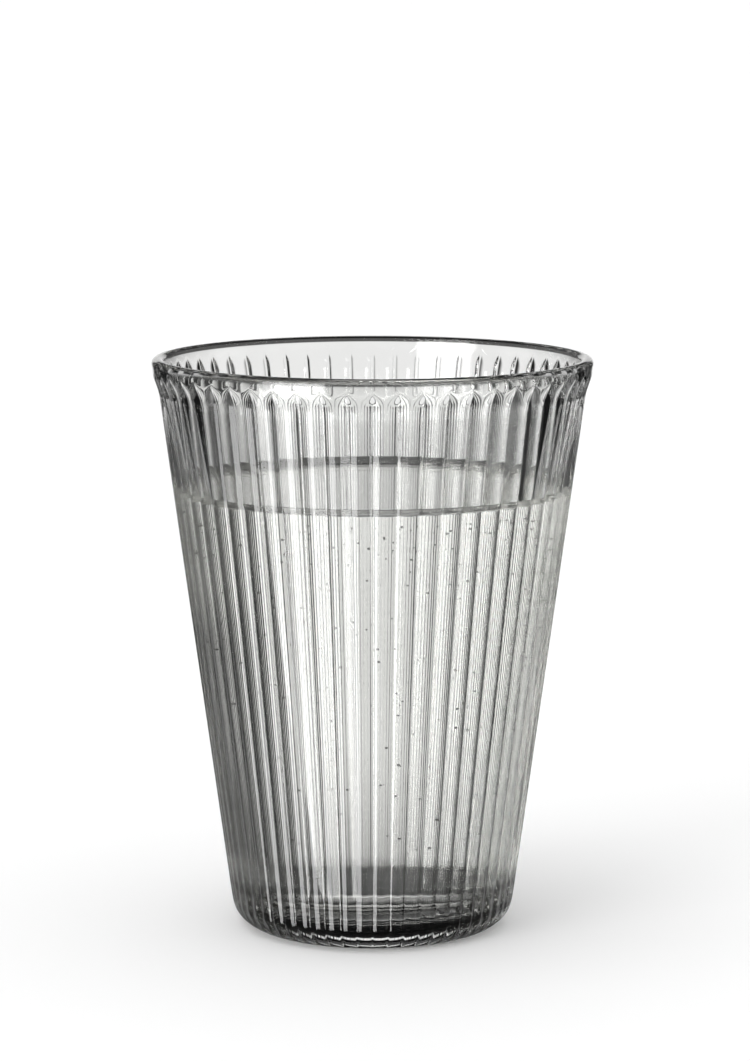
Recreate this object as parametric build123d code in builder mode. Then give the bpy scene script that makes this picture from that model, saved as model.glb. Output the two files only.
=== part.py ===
from build123d import *
import math
import os

os.makedirs("parts", exist_ok=True)

# ---- driving dimensions, millimetres and degrees ----
height = 120.0
ribs = 56

# outer cone of the smooth rim band, carried down to the table
foot_radius = 29.65
mouth_radius = 46.05
heel_radius = 6.0
rim_radius = 1.2

# hollow
wall_at_mouth = 2.8
wall_at_floor = 4.3
floor_height = 5.2
floor_fillet = 7.0
floor_dip = 0.4

# slightly hollowed underside, so that the tumbler stands on a ring
kick_height = 0.3
kick_radius = 21.5

# rounded ribs: their crests stay below the face of the band and sharp valleys part them
crest_drop = 0.7
crest_polish = 0.015
rib_half_angle = 34.0
crest_land_angle = 2.5
groove_clearance = 0.6
runout_start_z = 111.7
runout_radius = 10.0
runout_angle = 40.0

# the grooves follow the heel and fade out before the foot ring
heel_steps = 6
heel_fade_share = 0.45
heel_fade_lift = 1.0

# water, with the curl that it makes up the wall
water_level = 92.0
meniscus_height = 1.6
meniscus_width = 2.4
water_gap = 0.02

outer_slope = (mouth_radius - foot_radius) / height
lean = math.atan(outer_slope)
hollow_mouth_radius = mouth_radius - wall_at_mouth
hollow_floor_radius = foot_radius + outer_slope * floor_height - wall_at_floor
hollow_slope = (hollow_mouth_radius - hollow_floor_radius) / (height - floor_height)
half_pitch = math.radians(180.0 / ribs)
heel_middle = foot_radius - crest_drop + outer_slope * heel_radius - heel_radius / math.cos(lean)


def crest_radius(z):
    """Distance from the axis to the crest of a rib on the wall."""
    return foot_radius + outer_slope * z - crest_drop


def hollow_radius(z):
    return hollow_floor_radius + hollow_slope * (z - floor_height)


def groove_section(crest, lift):
    """Outline of the groove between two ribs whose crests lie at this radius, raised by the lift."""
    rib = crest * math.sin(half_pitch) / math.sin(math.radians(rib_half_angle))
    across = (crest - rib) * math.sin(half_pitch)
    inward = (crest - rib) * math.cos(half_pitch) - crest + lift
    valley = inward + math.sqrt(rib**2 - across**2)
    land = half_pitch - math.radians(crest_land_angle)
    edge_x = across + rib * math.sin(land)
    edge_y = inward + rib * math.cos(land)
    flank = (land - math.asin(across / rib)) / 2
    flank_x = across + rib * math.sin(flank)
    flank_y = inward + rib * math.cos(flank)
    top_y = crest_drop + groove_clearance + lift
    top_x = edge_x + (top_y - edge_y) * math.tan(half_pitch)
    ThreePointArc((0, valley), (flank_x, flank_y), (edge_x, edge_y))
    Polyline((edge_x, edge_y), (top_x, top_y), (-top_x, top_y), (-edge_x, edge_y))
    ThreePointArc((-edge_x, edge_y), (-flank_x, flank_y), (0, valley))


# ---- one groove: leans like the wall, curves out at the top, rolls round the heel below ----
wall_direction = Vector(math.sin(lean), 0, math.cos(lean))
wall_outward = Vector(math.cos(lean), 0, -math.sin(lean))
heel_point = Vector(heel_middle, 0, heel_radius) + wall_outward * heel_radius
runout_point = Vector(crest_radius(runout_start_z), 0, runout_start_z)
heel_plane = Plane(heel_point, x_dir=(0, -1, 0), z_dir=wall_direction)
runout_plane = Plane(runout_point, x_dir=(0, -1, 0), z_dir=wall_direction)

with BuildPart() as groove:
    with BuildSketch(heel_plane):
        with BuildLine():
            groove_section(heel_point.X, 0)
        make_face()
    with BuildSketch(runout_plane):
        with BuildLine():
            groove_section(runout_point.X, 0)
        make_face()
    loft(ruled=True)
    with BuildSketch(runout_plane):
        with BuildLine():
            groove_section(runout_point.X, 0)
        make_face()
    revolve(
        axis=Axis(runout_point + wall_outward * runout_radius, (0, 1, 0)),
        revolution_arc=runout_angle,
    )
    for step in range(heel_steps + 1):
        share = 1 - step / heel_steps
        roll = -math.pi / 2 + share * (math.pi / 2 - lean)
        outward = Vector(math.cos(roll), 0, math.sin(roll))
        along = Vector(-math.sin(roll), 0, math.cos(roll))
        point = Vector(heel_middle, 0, heel_radius) + outward * heel_radius
        lift = heel_fade_lift * max(1 - share / heel_fade_share, 0) ** 2
        with BuildSketch(Plane(point, x_dir=(0, -1, 0), z_dir=along)):
            with BuildLine():
                groove_section(point.X, lift)
            make_face()
    loft()

# ---- outline of the blank: crest level below, a small cove out to the band above ----
blank_drop = crest_drop + crest_polish
step_out = blank_drop * math.cos(lean)
step_up = math.sqrt(2 * runout_radius * step_out - step_out**2)
cove_low = Vector(foot_radius + outer_slope * runout_start_z - blank_drop, runout_start_z)
cove_high = cove_low + Vector(math.sin(lean), math.cos(lean)) * step_up
cove_high += Vector(math.cos(lean), -math.sin(lean)) * step_out

# ---- the tumbler: one pressed piece, turned about its axis and then grooved ----
with BuildPart() as tumbler:
    with BuildSketch(Plane.XZ):
        with BuildLine():
            Polyline(
                (cove_high.X, cove_high.Y),
                (mouth_radius, height),
                (hollow_mouth_radius, height),
                (hollow_floor_radius, floor_height),
                (0, floor_height - floor_dip),
                (0, kick_height),
                (kick_radius, 0),
                (foot_radius - blank_drop, 0),
                (cove_low.X, cove_low.Y),
            )
            TangentArc(cove_low, cove_high, tangent=(math.sin(lean), math.cos(lean)))
        make_face()
    revolve(axis=Axis.Z)
    rings = tumbler.edges().filter_by(GeomType.CIRCLE)
    foot_ring = rings.group_by(Axis.Z)[0].sort_by(SortBy.RADIUS)[-1]
    rim_rings = rings.group_by(Axis.Z)[-1]
    floor_ring = rings.filter_by_position(Axis.Z, floor_height - 0.1, floor_height + 0.1)
    fillet(foot_ring, heel_radius)
    fillet(rim_rings, rim_radius)
    fillet(floor_ring, floor_fillet)
    with PolarLocations(0, ribs):
        add(groove.part, mode=Mode.SUBTRACT)

# ---- the water: fills the hollow up to its level and curls up the wall ----
floor_radius = hollow_floor_radius - water_gap
curl_top_z = water_level + meniscus_height
curl_top_radius = hollow_radius(curl_top_z) - water_gap
floor_z = floor_height + water_gap

with BuildPart() as water:
    with BuildSketch(Plane.XZ):
        with BuildLine():
            Line((0, floor_z - floor_dip), (floor_radius, floor_z))
            Line((floor_radius, floor_z), (curl_top_radius, curl_top_z))
            TangentArc(
                (curl_top_radius - meniscus_width, water_level),
                (curl_top_radius, curl_top_z),
                tangent=(1, 0),
            )
            Line((curl_top_radius - meniscus_width, water_level), (0, water_level))
            Line((0, water_level), (0, floor_z - floor_dip))
        make_face()
    revolve(axis=Axis.Z)
    floor_corner = water.edges().filter_by(GeomType.CIRCLE).filter_by_position(
        Axis.Z, floor_z - 0.1, floor_z + 0.1
    )
    fillet(floor_corner, floor_fillet)

tumbler.part.label = "tumbler"
water.part.label = "water"
export_step(tumbler.part, "parts/tumbler.step")
export_step(water.part, "parts/water.step")

for name, made in (("tumbler", tumbler.part), ("water", water.part)):
    box = made.bounding_box()
    print(name, "volume", round(made.volume, 1), "solids", len(made.solids()), "size", box.size)
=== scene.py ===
import math

import bmesh
import bpy
import numpy as np
from mathutils import Matrix, Vector


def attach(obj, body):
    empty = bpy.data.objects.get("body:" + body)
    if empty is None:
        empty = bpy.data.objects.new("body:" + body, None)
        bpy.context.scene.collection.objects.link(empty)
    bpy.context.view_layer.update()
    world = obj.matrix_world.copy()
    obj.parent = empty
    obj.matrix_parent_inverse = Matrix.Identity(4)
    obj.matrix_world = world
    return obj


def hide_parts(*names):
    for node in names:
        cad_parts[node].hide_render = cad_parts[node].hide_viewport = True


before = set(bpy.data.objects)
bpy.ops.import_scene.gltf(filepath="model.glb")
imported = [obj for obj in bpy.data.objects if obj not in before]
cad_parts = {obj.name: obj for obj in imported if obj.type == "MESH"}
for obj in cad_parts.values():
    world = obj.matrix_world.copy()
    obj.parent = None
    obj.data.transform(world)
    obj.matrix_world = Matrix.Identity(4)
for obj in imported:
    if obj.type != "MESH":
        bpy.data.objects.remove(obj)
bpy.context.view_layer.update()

MM = 0.001

# ---- dimensions, as in the CAD part apart from RUNOUT_RADIUS (10.0 there) ----
# Lengths are in millimetres. HEEL_FADE is a share of the heel's roll, counted from the foot.
HEIGHT = 120.0
RIBS = 56
FOOT_RADIUS = 29.65
MOUTH_RADIUS = 46.05
HEEL_RADIUS = 6.0
RIM_RADIUS = 1.2
WALL_AT_MOUTH = 2.8
WALL_AT_FLOOR = 4.3
FLOOR_HEIGHT = 5.2
FLOOR_FILLET = 7.0
FLOOR_DIP = 0.4
KICK_HEIGHT = 0.3
KICK_RADIUS = 21.5
CREST_DROP = 0.7
RIB_HALF_ANGLE = math.radians(34.0)
RUNOUT_START = 111.7
RUNOUT_RADIUS = 10.6
HEEL_FADE = 0.45
WATER_LEVEL = 92.0
MENISCUS_HEIGHT = 1.6
MENISCUS_WIDTH = 2.4

# a valley between two ribs lies on each of the four axes
SPIN = math.pi / RIBS

# softening that fire polishing leaves in the valleys and where the grooves end
VALLEY_SOFT = 0.35
END_SOFT = 0.5

# how steeply a rib's outline is carried down past its own round back, so that its neighbour takes over
FALL_AWAY = 60.0

# how far the water reaches into the glass, so that no film of air shows between them
WATER_OVERLAP = 0.05

# strengths of the surroundings, and the two noises' fineness in the clear materials
PLAIN_SURROUND = 1.08
DARK_SURROUND = 0.008
GLASS_FINENESS = 90.0
WATER_FINENESS = 40.0

OUTER_SLOPE = (MOUTH_RADIUS - FOOT_RADIUS) / HEIGHT
HOLLOW_MOUTH = MOUTH_RADIUS - WALL_AT_MOUTH
HOLLOW_FLOOR = FOOT_RADIUS + OUTER_SLOPE * FLOOR_HEIGHT - WALL_AT_FLOOR
HOLLOW_SLOPE = (HOLLOW_MOUTH - HOLLOW_FLOOR) / (HEIGHT - FLOOR_HEIGHT)
PITCH = 2 * math.pi / RIBS


def band_radius(z):
    return FOOT_RADIUS + OUTER_SLOPE * z


def hollow_radius(z):
    return HOLLOW_FLOOR + HOLLOW_SLOPE * (z - FLOOR_HEIGHT)


def soft_min(a, b, soft):
    """The smaller of two radii, with the corner between them rounded off."""
    h = np.clip(0.5 + 0.5 * (b - a) / soft, 0, 1)
    return b * (1 - h) + a * h - soft * h * (1 - h)


def rib_back(turn, crest):
    """Radius of the round back of one rib at an angle away from its crest."""
    rib = crest * math.sin(PITCH / 2) / math.sin(RIB_HALF_ANGLE)
    middle = crest - rib
    inside = rib**2 - (middle * np.sin(turn)) ** 2
    beyond = middle * np.cos(turn) - (np.abs(turn) - PITCH / 2) * FALL_AWAY
    return np.where(inside <= 0, beyond, middle * np.cos(turn) + np.sqrt(np.maximum(inside, 0)))


def ribbed(angle, crest):
    """Radius of the row of ribs whose crests lie on a circle. Angle 0 is a crest."""
    turn = ((angle + PITCH / 2) % PITCH) - PITCH / 2
    beside = np.where(turn > 0, turn - PITCH, turn + PITCH)
    return -soft_min(-rib_back(turn, crest), -rib_back(beside, crest), VALLEY_SOFT)


def wall_radius(angle, z):
    above = min(max(z - RUNOUT_START, 0), RUNOUT_RADIUS * 0.999)
    out = RUNOUT_RADIUS - math.sqrt(RUNOUT_RADIUS**2 - above**2)
    return soft_min(ribbed(angle, band_radius(z) - CREST_DROP) + out, band_radius(z), END_SOFT)


def rib_angles(per_rib):
    """Angles round the glass, closer together by the valleys."""
    steps = np.arange(per_rib) / per_rib
    mixed = steps + 0.6 * np.sin(2 * math.pi * steps) / (2 * math.pi)
    return (np.arange(RIBS)[:, None] + mixed[None, :]).ravel() * PITCH


def ring(angle, radius, z):
    radius = np.broadcast_to(radius, angle.shape)
    z = np.broadcast_to(z, angle.shape)
    turned = angle + SPIN
    return np.stack([radius * np.cos(turned), radius * np.sin(turned), z], axis=-1)


def shell(name, rings):
    """A smooth mesh through rings of points, closed at both ends by a fan to the middle."""
    count = len(rings[0])
    start = [rings[0].mean(axis=0)]
    end = [rings[-1].mean(axis=0)]
    points = np.concatenate([start] + rings + [end]) * MM
    faces = []
    for j in range(count):
        faces.append((0, 1 + (j + 1) % count, 1 + j))
    for i in range(len(rings) - 1):
        low = 1 + i * count
        high = low + count
        for j in range(count):
            k = (j + 1) % count
            faces.append((low + j, low + k, high + k, high + j))
    last = len(points) - 1
    top = 1 + (len(rings) - 1) * count
    for j in range(count):
        faces.append((top + j, top + (j + 1) % count, last))
    mesh = bpy.data.meshes.new(name)
    mesh.from_pydata(points.tolist(), [], faces)
    mesh.polygons.foreach_set("use_smooth", [True] * len(mesh.polygons))
    mesh.update()
    made = bpy.data.objects.new(name, mesh)
    bpy.context.scene.collection.objects.link(made)
    return made


def glass_rings():
    angle = rib_angles(24)
    rings = []
    for radius in (7.0, 14.0, KICK_RADIUS - 1.5):
        rings.append(ring(angle, radius, KICK_HEIGHT * (1 - radius / KICK_RADIUS)))
    rings.append(ring(angle, KICK_RADIUS, 0.0))
    # the heel rolls from the foot ring into the wall, and the grooves fade out on the way down
    lean = math.atan(OUTER_SLOPE)
    foot = FOOT_RADIUS - CREST_DROP
    middle = foot + OUTER_SLOPE * HEEL_RADIUS - HEEL_RADIUS / math.cos(lean)
    for part in np.linspace(0, 1, 15):
        roll = -math.pi / 2 + part * (math.pi / 2 - lean)
        crest = middle + HEEL_RADIUS * math.cos(roll)
        fade = max(1 - part / HEEL_FADE, 0) ** 2
        depth = -soft_min(ribbed(angle, crest) - crest + fade, np.zeros_like(angle), 0.2)
        depth = np.where(depth > 0, depth, 0)
        z = HEEL_RADIUS + (HEEL_RADIUS - depth) * math.sin(roll)
        rings.append(ring(angle, middle + (HEEL_RADIUS - depth) * math.cos(roll), z))
    heights = [8, 40, 75, 110.5]
    heights += list(np.linspace(111.7, 118.6, 20))
    for z in heights:
        rings.append(ring(angle, wall_radius(angle, z), z))
    # the rim
    outer = band_radius(HEIGHT - RIM_RADIUS) - RIM_RADIUS / math.cos(lean) + RIM_RADIUS
    inner = hollow_radius(HEIGHT - RIM_RADIUS)
    middle = (outer + inner) / 2
    half = (outer - inner) / 2
    for part in np.linspace(0, 1, 11):
        roll = math.pi * part
        z = HEIGHT - RIM_RADIUS + RIM_RADIUS * math.sin(roll)
        rings.append(ring(angle, middle + half * math.cos(roll), z))
    # the hollow
    lean = math.atan(HOLLOW_SLOPE)
    fillet_z = FLOOR_HEIGHT + FLOOR_FILLET
    fillet_middle = hollow_radius(fillet_z) - FLOOR_FILLET / math.cos(lean)
    for z in np.linspace(HEIGHT - RIM_RADIUS - 2, fillet_z + 1, 5):
        rings.append(ring(angle, hollow_radius(z), z))
    for part in np.linspace(0, 1, 10):
        roll = -lean - part * (math.pi / 2 - lean)
        z = fillet_z + FLOOR_FILLET * math.sin(roll)
        rings.append(ring(angle, fillet_middle + FLOOR_FILLET * math.cos(roll), z))
    for share in (0.75, 0.5, 0.25):
        z = FLOOR_HEIGHT - FLOOR_DIP * (1 - share**2)
        rings.append(ring(angle, fillet_middle * share, z))
    return rings


def water_rings():
    angle = np.arange(448) * 2 * math.pi / 448
    into = WATER_OVERLAP
    rings = []
    lean = math.atan(HOLLOW_SLOPE)
    fillet_z = FLOOR_HEIGHT + FLOOR_FILLET
    fillet_middle = hollow_radius(fillet_z) - FLOOR_FILLET / math.cos(lean)
    for share in (0.25, 0.5, 0.75):
        z = FLOOR_HEIGHT - FLOOR_DIP * (1 - share**2) - into
        rings.append(ring(angle, fillet_middle * share, z))
    for part in np.linspace(1, 0, 12):
        roll = -lean - part * (math.pi / 2 - lean)
        z = fillet_z + (FLOOR_FILLET + into) * math.sin(roll)
        rings.append(ring(angle, fillet_middle + (FLOOR_FILLET + into) * math.cos(roll), z))
    top = WATER_LEVEL + MENISCUS_HEIGHT
    for z in list(np.linspace(fillet_z + 1, top - 1, 8)) + [top - 0.5, top - 0.2, top - 0.06, top]:
        rings.append(ring(angle, hollow_radius(z) + into, z))
    arc = (MENISCUS_WIDTH**2 + MENISCUS_HEIGHT**2) / (2 * MENISCUS_HEIGHT)
    for share in np.linspace(0.98, 0, 14):
        inward = MENISCUS_WIDTH * (1 - share)
        rise = arc - math.sqrt(arc**2 - (MENISCUS_WIDTH * share) ** 2)
        rings.append(ring(angle, hollow_radius(top) - inward, WATER_LEVEL + rise))
    for share in (0.9, 0.6, 0.3):
        rings.append(ring(angle, (hollow_radius(top) - MENISCUS_WIDTH) * share, WATER_LEVEL))
    return rings


def link_noise(tree, scale, detail):
    """A noise pattern fixed to the object, the same from every side."""
    place = tree.nodes.new("ShaderNodeTexCoord")
    noise = tree.nodes.new("ShaderNodeTexNoise")
    noise.inputs["Scale"].default_value = scale
    noise.inputs["Detail"].default_value = detail
    tree.links.new(place.outputs["Object"], noise.inputs["Vector"])
    return noise


def clear_material(name, ior, light_tint, dark_tint, fineness):
    """A clear, smooth solid with faint uneven patches in its tint."""
    made = bpy.data.materials.new(name)
    made.use_nodes = True
    tree = made.node_tree
    shader = tree.nodes["Principled BSDF"]
    shader.inputs["Roughness"].default_value = 0.0
    shader.inputs["IOR"].default_value = ior
    shader.inputs["Transmission Weight"].default_value = 1.0
    streaks = link_noise(tree, fineness, 3.0)
    tint = tree.nodes.new("ShaderNodeValToRGB")
    tint.color_ramp.elements[0].position = 0.35
    tint.color_ramp.elements[0].color = (*dark_tint, 1)
    tint.color_ramp.elements[1].position = 0.65
    tint.color_ramp.elements[1].color = (*light_tint, 1)
    tree.links.new(streaks.outputs["Fac"], tint.inputs["Fac"])
    tree.links.new(tint.outputs["Color"], shader.inputs["Base Color"])
    return made


def bubble_material():
    """Air in water: the ray leaves the denser side, so the ratio is below one."""
    made = bpy.data.materials.new("air_in_water")
    made.use_nodes = True
    tree = made.node_tree
    tree.nodes.clear()
    glassy = tree.nodes.new("ShaderNodeBsdfGlass")
    glassy.inputs["Roughness"].default_value = 0.0
    glassy.inputs["IOR"].default_value = 0.75
    noise = link_noise(tree, 4000.0, 1.0)
    tint = tree.nodes.new("ShaderNodeValToRGB")
    tint.color_ramp.elements[0].color = (0.75, 0.75, 0.74, 1)
    tint.color_ramp.elements[1].color = (1, 1, 1, 1)
    tree.links.new(noise.outputs["Fac"], tint.inputs["Fac"])
    tree.links.new(tint.outputs["Color"], glassy.inputs["Color"])
    end = tree.nodes.new("ShaderNodeOutputMaterial")
    tree.links.new(glassy.outputs[0], end.inputs["Surface"])
    return made


def air_bubbles(count):
    """Tiny bubbles that cling to the wall of the hollow, most of them just under the surface."""
    chance = np.random.default_rng(7)
    bubble = bmesh.new()
    for _ in range(count):
        size = chance.uniform(0.11, 0.26)
        z = WATER_LEVEL - 2 - 70 * chance.random() ** 2
        angle = chance.uniform(0, 2 * math.pi)
        reach = hollow_radius(z) - size - 0.03
        place = Matrix.Translation(Vector((reach * math.cos(angle), reach * math.sin(angle), z)) * MM)
        grow = Matrix.Diagonal((size * MM, size * MM, size * chance.uniform(0.9, 1.15) * MM, 1))
        bmesh.ops.create_icosphere(bubble, subdivisions=2, radius=1.0, matrix=place @ grow)
    for face in bubble.faces:
        face.smooth = True
    mesh = bpy.data.meshes.new("air_bubbles")
    bubble.to_mesh(mesh)
    bubble.free()
    made = bpy.data.objects.new("air_bubbles", mesh)
    bpy.context.scene.collection.objects.link(made)
    return made


tumbler = shell("tumbler_glass", glass_rings())
water = shell("water_body", water_rings())
bubbles = air_bubbles(1000)
tumbler.data.materials.append(
    clear_material("pressed_glass", 1.52, (0.95, 0.952, 0.942), (0.935, 0.937, 0.927), GLASS_FINENESS)
)
water.data.materials.append(
    clear_material("still_water", 1.333, (0.935, 0.935, 0.925), (0.915, 0.915, 0.903), WATER_FINENESS)
)
bubbles.data.materials.append(bubble_material())
for piece, slot in ((tumbler, "glass"), (water, "water"), (bubbles, "water")):
    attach(piece, "root")
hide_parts("tumbler")
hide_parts("water")

# ---- floor ----
bpy.ops.mesh.primitive_plane_add(size=80, location=(0, 0, -0.0001))
floor = bpy.context.object
floor.name = "floor"
paper = bpy.data.materials.new("floor_paper")
paper.use_nodes = True
paper.node_tree.nodes["Principled BSDF"].inputs["Base Color"].default_value = (0.9, 0.9, 0.9, 1)
paper.node_tree.nodes["Principled BSDF"].inputs["Roughness"].default_value = 0.8
floor.data.materials.append(paper)
floor.visible_transmission = False
floor.visible_glossy = False

# ---- surroundings ----
# This is not plain light. The camera and the floor see a plain white surround. Rays that have gone
# through the glass or glanced off it see a dark one, with bright patches at listed places.
world = bpy.data.worlds.new("studio")
bpy.context.scene.world = world
world.use_nodes = True
tree = world.node_tree
tree.nodes.clear()


def math_node(kind, a, b=None):
    node = tree.nodes.new("ShaderNodeMath")
    node.operation = kind
    for socket, value in zip(node.inputs, (a, b)):
        if value is None:
            continue
        if hasattr(value, "is_linked"):
            tree.links.new(value, socket)
        else:
            socket.default_value = value
    return node.outputs[0]


def ramp(value, low, high):
    """0 below low, 1 above high, smooth between."""
    node = tree.nodes.new("ShaderNodeMapRange")
    node.interpolation_type = "SMOOTHSTEP"
    tree.links.new(value, node.inputs["Value"])
    node.inputs["From Min"].default_value = low
    node.inputs["From Max"].default_value = high
    return node.outputs[0]


where = tree.nodes.new("ShaderNodeTexCoord")
split = tree.nodes.new("ShaderNodeSeparateXYZ")
tree.links.new(where.outputs["Generated"], split.inputs[0])
RAD = 180 / math.pi
azimuth = math_node("MULTIPLY", math_node("ARCTAN2", split.outputs["X"], split.outputs["Y"]), RAD)
elevation = math_node("MULTIPLY", math_node("ARCSINE", split.outputs["Z"]), RAD)


def patch(az_from, az_to, el_from, el_to, edge_az, edge_el, strength):
    """A soft-edged bright area, in degrees. Azimuth 0 is behind the glass, negative is the camera's left."""
    left = ramp(azimuth, az_from - edge_az, az_from + edge_az)
    right = math_node("SUBTRACT", 1.0, ramp(azimuth, az_to - edge_az, az_to + edge_az))
    low = ramp(elevation, el_from - edge_el, el_from + edge_el)
    high = math_node("SUBTRACT", 1.0, ramp(elevation, el_to - edge_el, el_to + edge_el))
    across = math_node("MULTIPLY", left, right)
    up = math_node("MULTIPLY", low, high)
    return math_node("MULTIPLY", math_node("MULTIPLY", across, up), strength)


patches = [
    # behind the glass: level, low, and steeply down
    patch(-16, 14, -8.4, 11.0, 3, 2.0, 0.94),
    patch(-24, 24, -30, -9, 3, 3, 0.09),
    patch(-60, 60, -91, -52, 5, 2, 0.5),
    # strip light at the camera's left
    patch(-154, -121, -36, 26, 2, 3, 7.0),
    # fills for the views from the glass's other sides
    patch(-60, -32, -42, -16, 3, 2, 0.6),
    patch(32, 60, -42, -16, 3, 2, 0.6),
    patch(-103, -79, -12, 9, 3, 2, 0.5),
    patch(79, 103, -12, 9, 3, 2, 0.5),
    patch(118, 190, -30, 9, 3, 2, 0.5),
    patch(-190, -159, -30, 9, 3, 2, 0.5),
]
total = DARK_SURROUND
for bright in patches:
    total = math_node("ADD", total, bright)
light_path = tree.nodes.new("ShaderNodeLightPath")
after_floor = math_node("MINIMUM", light_path.outputs["Diffuse Depth"], 1.0)
plain_rays = math_node("MAXIMUM", light_path.outputs["Is Camera Ray"], after_floor)
seen = tree.nodes.new("ShaderNodeMix")
seen.data_type = "FLOAT"
tree.links.new(plain_rays, seen.inputs[0])
tree.links.new(total, seen.inputs[2])
seen.inputs[3].default_value = PLAIN_SURROUND
background = tree.nodes.new("ShaderNodeBackground")
tree.links.new(seen.outputs[0], background.inputs["Strength"])
background.inputs["Color"].default_value = (1, 1, 1, 1)
output = tree.nodes.new("ShaderNodeOutputWorld")
tree.links.new(background.outputs[0], output.inputs["Surface"])

# ---- light ----
sun = bpy.data.lights.new("soft_sun", "SUN")
sun.energy = 0.28
sun.angle = math.radians(30)
sun_object = bpy.data.objects.new("soft_sun", sun)
sun_object.rotation_euler = (math.radians(8), math.radians(-14), 0)
sun_object.visible_glossy = False
sun_object.visible_transmission = False
bpy.context.scene.collection.objects.link(sun_object)

# ---- camera: the photograph's viewing angle ----
camera = bpy.data.cameras.new("camera")
camera_object = bpy.data.objects.new("camera", camera)
bpy.context.scene.collection.objects.link(camera_object)
bpy.context.scene.camera = camera_object
MOUTH = 45.75 * MM
camera_object.location = (0, -16.95 * MOUTH, 4.35 * MOUTH)
camera_object.rotation_euler = (math.radians(90 - 8.48), 0, 0)
camera.sensor_fit = "VERTICAL"
camera.sensor_height = 24.0
camera.lens = 84.80301602262
camera.shift_x = 0.0023562676720
camera.clip_end = 200

scene = bpy.context.scene
scene.cycles.max_bounces = 32
scene.cycles.transmission_bounces = 32
scene.cycles.glossy_bounces = 12
scene.view_settings.view_transform = "Standard"

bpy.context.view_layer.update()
